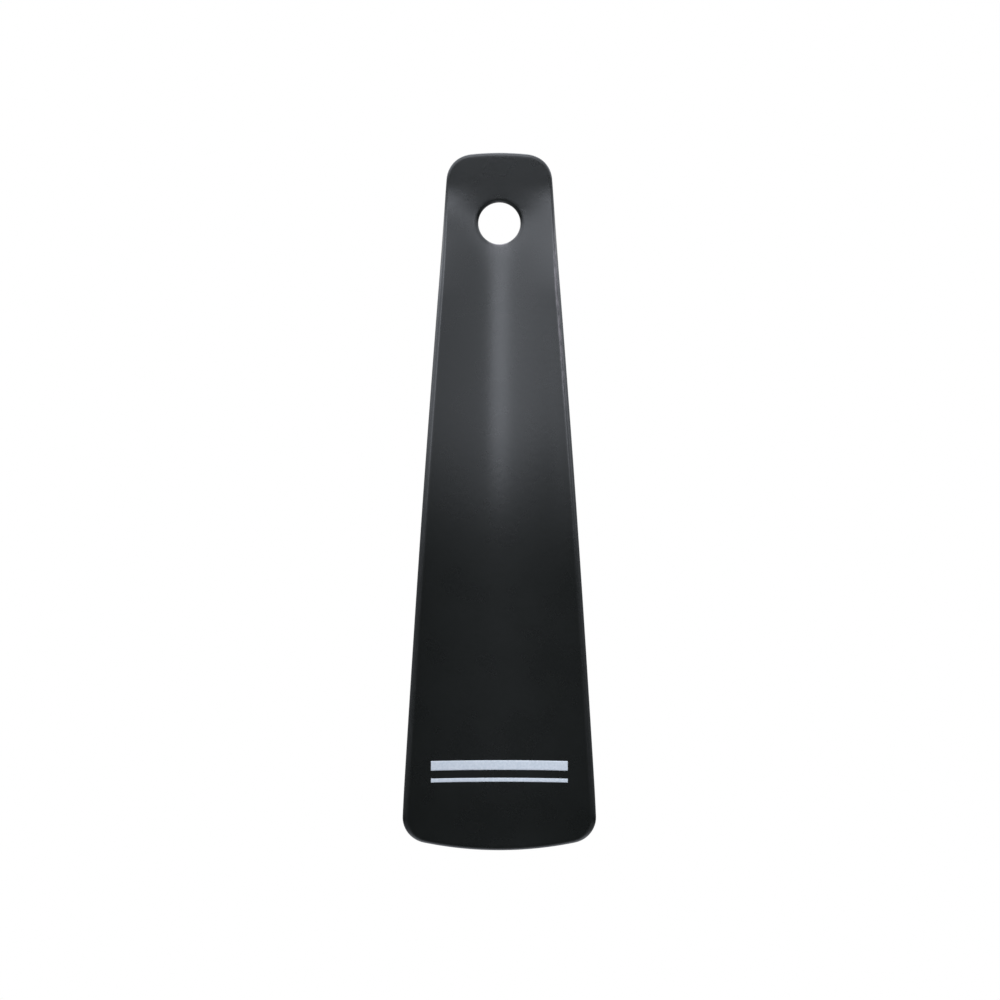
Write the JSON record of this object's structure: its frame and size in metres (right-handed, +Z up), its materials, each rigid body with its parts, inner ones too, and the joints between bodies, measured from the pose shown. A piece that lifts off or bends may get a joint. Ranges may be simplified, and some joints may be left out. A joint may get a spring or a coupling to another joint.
{
  "type": "shoehorn",
  "caption": "Short moulded shoehorn: tapered trough-shaped blade with a rounded rim, a leaning handle that runs out flat, a hanging hole and a printed stripe mark.",
  "frame": {"origin": "centre of the hanging hole, in the middle of the wall round it", "axes": "+Z up along the length to the hanging end, X across, -Y out of the hollow side, +Y out of the back"},
  "size_m": [0.044, 0.0189, 0.16],
  "materials": {
    "blade_plastic": "satin black, moulded",
    "print_ink": "flat printed ink"
  },
  "bodies": {
    "root": {"blade": "blade_plastic", "printed_stripes": "print_ink"}
  },
  "joints": []
}
